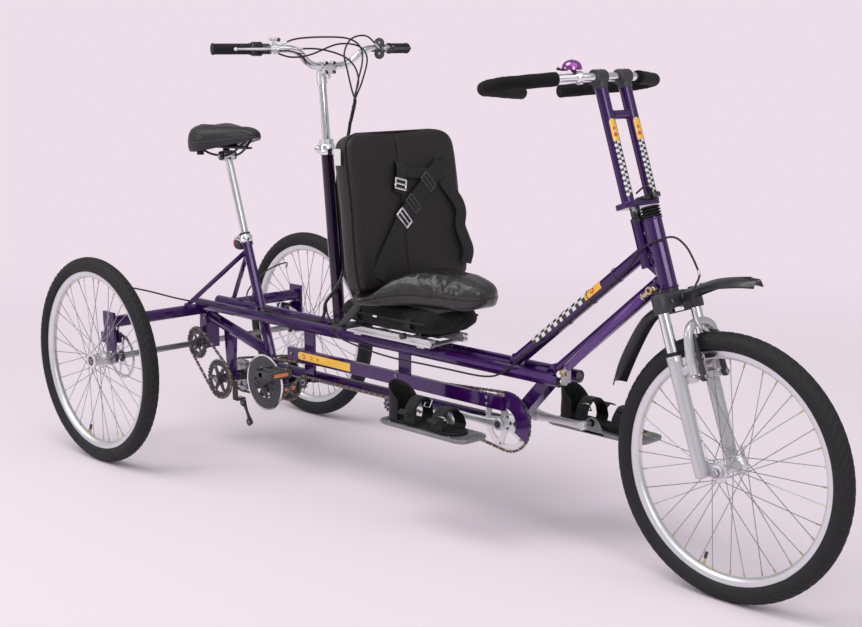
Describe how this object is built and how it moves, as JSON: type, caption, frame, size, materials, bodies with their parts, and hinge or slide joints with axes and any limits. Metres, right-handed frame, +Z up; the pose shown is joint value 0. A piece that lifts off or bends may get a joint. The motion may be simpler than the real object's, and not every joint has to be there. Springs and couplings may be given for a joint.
{
  "type": "adaptive tandem tricycle",
  "caption": "Adaptive tandem tricycle: padded front seat with foot plates and loop bars, rear captain's saddle and high steering bar, sprung front wheel and two braked rear wheels.",
  "frame": {"origin": "on the ground, midway between the front axle and the rear axle, on the middle plane", "axes": "+X forward, +Y to the riders' left, +Z up"},
  "size_m": [2.76, 0.926, 1.35],
  "materials": {
    "tyre": "matt",
    "alloy": "satin",
    "steel": "satin",
    "frame_paint": "gloss metallic violet",
    "chain": "oiled",
    "black_paint": "satin black",
    "black_plastic": "matt black",
    "grey_plate": "brushed",
    "rubber": "matt black",
    "chrome": "polished",
    "vinyl": "smooth black vinyl",
    "cloth": "woven black"
  },
  "bodies": {
    "frame": {"axle_beam": "frame_paint", "axle_plate_left": "frame_paint", "axle_plate_right": "frame_paint", "top_rails": "frame_paint", "rear_frame": "frame_paint", "lower_tube": "frame_paint", "side_beam": "frame_paint", "front_frame": "frame_paint", "timing_chain": "chain", "drive_chain": "chain", "final_chain": "chain", "changer": "black_paint", "captain_column": "frame_paint", "slide_rails": "alloy", "frame_cables": "rubber"},
    "seat": {"seat_carriage": "black_paint", "seat_cushion": "vinyl", "backrest": "vinyl", "seat_bag": "cloth"},
    "right_wheel_set": {"right_tyre": "tyre", "right_wheel": "alloy", "drive_axle": "steel"},
    "left_wheel_set": {"left_tyre": "tyre", "left_wheel": "alloy", "free_axle": "steel"},
    "jackshaft_set": {"jackshaft": "black_paint"},
    "cassette_set": {"cassette": "alloy"},
    "captain_cranks": {"captain_crankset": "black_paint"},
    "front_cranks": {"front_crankset": "alloy"},
    "idler_rear_set": {"idler_rear": "steel"},
    "idler_front_set": {"idler_front": "steel"},
    "pedal_right": {"captain_pedal_right": "black_plastic"},
    "pedal_left": {"captain_pedal_left": "black_plastic"},
    "foot_right": {"foot_plate_right": "grey_plate", "foot_cradle_right": "rubber"},
    "foot_left": {"foot_plate_left": "grey_plate", "foot_cradle_left": "rubber"},
    "saddle_set": {"saddle_pillar": "chrome", "saddle": "black_plastic"},
    "fork": {"fork_crown": "black_paint", "mudguard": "black_plastic"},
    "fork_slider": {"fork_lowers": "alloy"},
    "front_wheel_set": {"front_tyre": "tyre", "front_wheel": "alloy"},
    "rim_brake_right": {"brake_arm_right": "black_paint"},
    "rim_brake_left": {"brake_arm_left": "black_paint"},
    "steering_shaft": {"captain_shaft": "alloy"},
    "captain_bar_set": {"captain_bar": "chrome", "captain_grip_right": "rubber", "captain_grip_left": "rubber", "bar_cables": "rubber"},
    "lever_right": {"brake_lever_right": "black_paint"},
    "lever_left": {"brake_lever_left": "black_paint"},
    "push_rod": {"steer_push_rod": "steel"},
    "steer_link": {"steering_rod": "frame_paint"},
    "front_bar_set": {"bar_mast": "frame_paint", "front_bar": "black_paint", "foam_right": "rubber", "foam_left": "rubber", "bell": "chrome"}
  },
  "joints": [
    {"name": "seat_slide", "type": "slide", "parent": "frame", "child": "seat", "axis": [1, 0, 0], "range_m": [-0.04, 0.06]},
    {"name": "fork_steer", "type": "hinge", "parent": "frame", "child": "fork", "pos_m": [0.858, 0, 0.741], "axis": [-0.3206, 0, 0.9472], "range_deg": [-35, 35]},
    {"name": "captain_steer", "type": "hinge", "parent": "frame", "child": "steering_shaft", "pos_m": [-0.37, 0, 0.484], "axis": [-0.0946, 0, 0.9955], "range_deg": [-35, 35]},
    {"name": "push_rod_slide", "type": "slide", "parent": "frame", "child": "push_rod", "axis": [1, 0, 0], "range_m": [-0.0286, 0.0286]},
    {"name": "steer_link_pitch", "type": "hinge", "parent": "push_rod", "child": "steer_link", "pos_m": [0.57, -0.062, 0.491], "axis": [0, 1, 0], "range_deg": [-2, 2]},
    {"name": "captain_bar_height", "type": "slide", "parent": "steering_shaft", "child": "captain_bar_set", "axis": [-0.0946, 0, 0.9955], "range_m": [-0.04, 0.08]},
    {"name": "brake_lever_right", "type": "hinge", "parent": "captain_bar_set", "child": "lever_right", "pos_m": [-0.38476, -0.23892, 1.309], "axis": [0, 0, -1], "range_deg": [0, 10.1]},
    {"name": "brake_lever_left", "type": "hinge", "parent": "captain_bar_set", "child": "lever_left", "pos_m": [-0.38476, 0.23892, 1.309], "axis": [0, 0, 1], "range_deg": [0, 10], "stiffness_Nm_per_rad": 0.4, "springref_deg": -22.92},
    {"name": "fork_travel", "type": "slide", "parent": "fork", "child": "fork_slider", "axis": [-0.3206, 0, 0.9472], "range_m": [0, 0.04], "stiffness_N_per_m": 15000, "springref_m": -0.03},
    {"name": "front_wheel_spin", "type": "hinge", "parent": "fork_slider", "child": "front_wheel_set", "pos_m": [1.05, 0, 0.33], "axis": [0, 1, 0], "continuous": true},
    {"name": "rim_brake_right_close", "type": "hinge", "parent": "fork_slider", "child": "rim_brake_right", "pos_m": [0.9983, -0.043, 0.552], "axis": [-0.9472, 0, -0.3206], "range_deg": [0, 1.4], "stiffness_Nm_per_rad": 1, "springref_deg": -28.65},
    {"name": "rim_brake_left_close", "type": "hinge", "parent": "fork_slider", "child": "rim_brake_left", "pos_m": [0.9983, 0.043, 0.552], "axis": [0.9472, 0, 0.3206], "range_deg": [0, 1.4]},
    {"name": "front_bar_height", "type": "slide", "parent": "frame", "child": "front_bar_set", "axis": [-0.3206, 0, 0.9472], "range_m": [0, 0.04]},
    {"name": "saddle_height", "type": "slide", "parent": "frame", "child": "saddle_set", "axis": [-0.3173, 0, 0.9483], "range_m": [-0.05, 0.06]},
    {"name": "right_wheel_spin", "type": "hinge", "parent": "frame", "child": "right_wheel_set", "pos_m": [-1.05, 0, 0.33], "axis": [0, 1, 0], "continuous": true},
    {"name": "left_wheel_spin", "type": "hinge", "parent": "frame", "child": "left_wheel_set", "pos_m": [-1.05, 0, 0.33], "axis": [0, 1, 0], "continuous": true},
    {"name": "jackshaft_spin", "type": "hinge", "parent": "frame", "child": "jackshaft_set", "pos_m": [-0.93, 0, 0.225], "axis": [0, 1, 0], "continuous": true},
    {"name": "captain_crank_spin", "type": "hinge", "parent": "frame", "child": "captain_cranks", "pos_m": [-0.686, 0, 0.254], "axis": [0, 1, 0], "continuous": true},
    {"name": "front_crank_spin", "type": "hinge", "parent": "frame", "child": "front_cranks", "pos_m": [0.368, 0, 0.322], "axis": [0, 1, 0], "continuous": true},
    {"name": "cassette_spin", "type": "hinge", "parent": "frame", "child": "cassette_set", "pos_m": [-0.93, 0, 0.225], "axis": [0, 1, 0], "continuous": true},
    {"name": "idler_rear_spin", "type": "hinge", "parent": "frame", "child": "idler_rear_set", "pos_m": [-0.5, 0, 0.28479], "axis": [0, 1, 0], "continuous": true},
    {"name": "idler_front_spin", "type": "hinge", "parent": "frame", "child": "idler_front_set", "pos_m": [-0.105, 0, 0.28479], "axis": [0, 1, 0], "continuous": true},
    {"name": "pedal_right_spin", "type": "hinge", "parent": "captain_cranks", "child": "pedal_right", "pos_m": [-0.53646, -0.1, 0.32373], "axis": [0, 1, 0], "continuous": true},
    {"name": "pedal_left_spin", "type": "hinge", "parent": "captain_cranks", "child": "pedal_left", "pos_m": [-0.83554, 0.1, 0.18427], "axis": [0, 1, 0], "continuous": true},
    {"name": "foot_right_level", "type": "hinge", "parent": "front_cranks", "child": "foot_right", "pos_m": [0.203, -0.12, 0.322], "axis": [0, 1, 0], "continuous": true},
    {"name": "foot_left_level", "type": "hinge", "parent": "front_cranks", "child": "foot_left", "pos_m": [0.533, 0.12, 0.322], "axis": [0, 1, 0], "continuous": true}
  ],
  "couplings": [
    {"joint": "captain_steer", "follows": "fork_steer", "ratio": 1},
    {"joint": "push_rod_slide", "follows": "fork_steer", "m_per_rad": 0.0465},
    {"joint": "steer_link_pitch", "follows": "fork_steer", "ratio": -0.025},
    {"joint": "rim_brake_left_close", "follows": "rim_brake_right_close", "ratio": 1},
    {"joint": "brake_lever_right", "follows": "rim_brake_right_close", "ratio": 7.14},
    {"joint": "jackshaft_spin", "follows": "right_wheel_spin", "ratio": 0.8125},
    {"joint": "front_crank_spin", "follows": "captain_crank_spin", "ratio": 1},
    {"joint": "cassette_spin", "follows": "captain_crank_spin", "ratio": 1.2857},
    {"joint": "idler_rear_spin", "follows": "captain_crank_spin", "ratio": -4},
    {"joint": "idler_front_spin", "follows": "captain_crank_spin", "ratio": -4},
    {"joint": "foot_right_level", "follows": "captain_crank_spin", "ratio": -1},
    {"joint": "foot_left_level", "follows": "captain_crank_spin", "ratio": -1}
  ]
}
